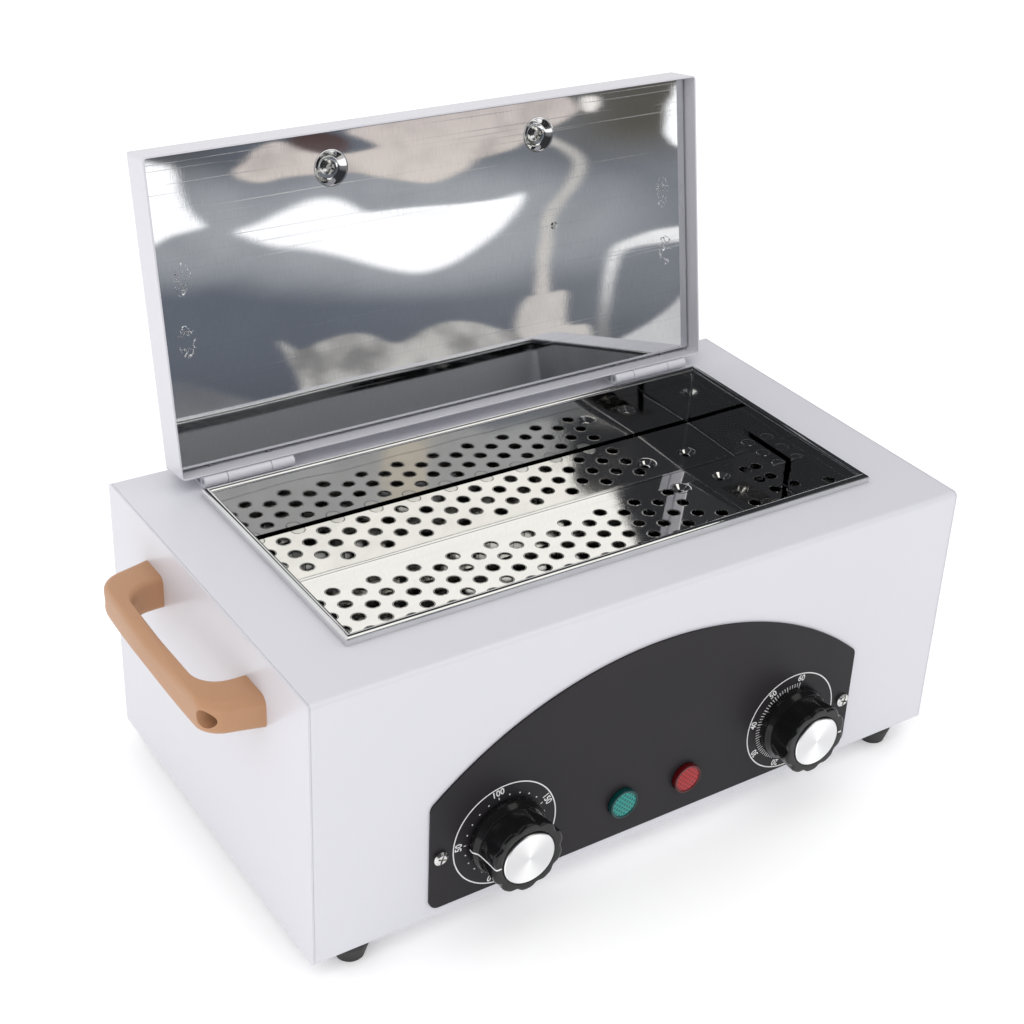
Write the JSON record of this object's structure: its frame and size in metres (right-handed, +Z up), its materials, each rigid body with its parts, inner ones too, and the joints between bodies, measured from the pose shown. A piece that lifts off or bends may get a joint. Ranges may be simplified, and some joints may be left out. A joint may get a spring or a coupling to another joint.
{
  "type": "dry heat sterilizer",
  "caption": "Bench-top dry heat sterilizer: white steel casing with a stainless chamber, a hinged mirror-lined lid, a perforated tray, a dial thermostat and a timer.",
  "frame": {"origin": "centre of the bounding box's footprint, on the plane of the feet's undersides", "axes": "+X to the right as seen from the front, +Y to the rear, +Z up; the front panel faces -Y"},
  "size_m": [0.414, 0.272, 0.308],
  "materials": {
    "white_enamel": "glossy white stoved paint",
    "stainless_mirror": "polished stainless sheet with a fine grain",
    "stainless_plain": "satin stainless",
    "black_panel": "satin black with white printed marks",
    "black_knob": "glossy black",
    "black_plastic": "matte black",
    "tan_plastic": "satin tan moulding",
    "teal_lens": "clear teal with a grid pattern",
    "red_lens": "clear red with a grid pattern",
    "rubber": "matte black",
    "zinc_steel": "zinc plate",
    "mineral_wool": "loose mineral wool",
    "heater_sheath": "dark oxidised sheath",
    "brass": "plain brass",
    "copper": "plain copper",
    "cream_plastic": "cream moulding",
    "grey_plastic": "grey moulding"
  },
  "bodies": {
    "casing": {"outer_casing": "white_enamel", "left_side_panel": "white_enamel", "right_side_panel": "white_enamel", "bottom_plate": "zinc_steel", "bottom_screws": "zinc_steel", "foot_front_left": "rubber", "foot_front_right": "rubber", "foot_rear_left": "rubber", "foot_rear_right": "rubber", "foot_screws": "zinc_steel", "chamber_liner": "stainless_mirror", "chamber_insulation": "mineral_wool", "perforated_tray": "stainless_mirror", "heating_element": "heater_sheath", "heater_brackets": "stainless_plain", "heater_bushes": "brass", "sensor_bulb": "copper", "sensor_capillary": "copper", "control_panel": "black_panel", "panel_screws": "zinc_steel", "control_screws": "zinc_steel", "thermostat_body": "cream_plastic", "timer_body": "grey_plastic", "green_lamp_lens": "teal_lens", "red_lamp_lens": "red_lens", "green_lamp_body": "black_plastic", "red_lamp_body": "black_plastic", "left_handle": "tan_plastic", "right_handle": "tan_plastic", "side_handle_screws": "zinc_steel", "left_hinge_body_leaf": "white_enamel", "left_hinge_pin": "zinc_steel", "right_hinge_body_leaf": "white_enamel", "right_hinge_pin": "zinc_steel", "hinge_body_screws": "zinc_steel", "cable_gland": "black_plastic", "gland_nut": "black_plastic", "terminal_block": "cream_plastic"},
    "lid": {"lid_shell": "white_enamel", "lid_liner": "stainless_mirror", "lid_insulation": "mineral_wool", "lid_handle": "tan_plastic", "lid_handle_screws": "zinc_steel", "lid_rivet": "stainless_plain", "left_hinge_lid_leaf": "white_enamel", "right_hinge_lid_leaf": "white_enamel", "hinge_lid_screws": "zinc_steel"},
    "temperature_knob": {"temperature_knob": "black_knob", "temperature_knob_cap": "stainless_plain", "thermostat_shaft": "zinc_steel"},
    "timer_knob": {"timer_knob": "black_knob", "timer_knob_cap": "stainless_plain", "timer_shaft": "zinc_steel"}
  },
  "joints": [
    {"name": "lid_hinge", "type": "hinge", "parent": "casing", "child": "lid", "pos_m": [0, 0.06749, 0.1526], "axis": [1, 0, 0], "range_deg": [0, 99.3]},
    {"name": "temperature_knob_turn", "type": "hinge", "parent": "casing", "child": "temperature_knob", "pos_m": [-0.084, -0.11401, 0.045], "axis": [0, 1, 0], "range_deg": [-72, 230]},
    {"name": "timer_knob_turn", "type": "hinge", "parent": "casing", "child": "timer_knob", "pos_m": [0.084, -0.11401, 0.045], "axis": [0, 1, 0], "range_deg": [0, 280]}
  ]
}
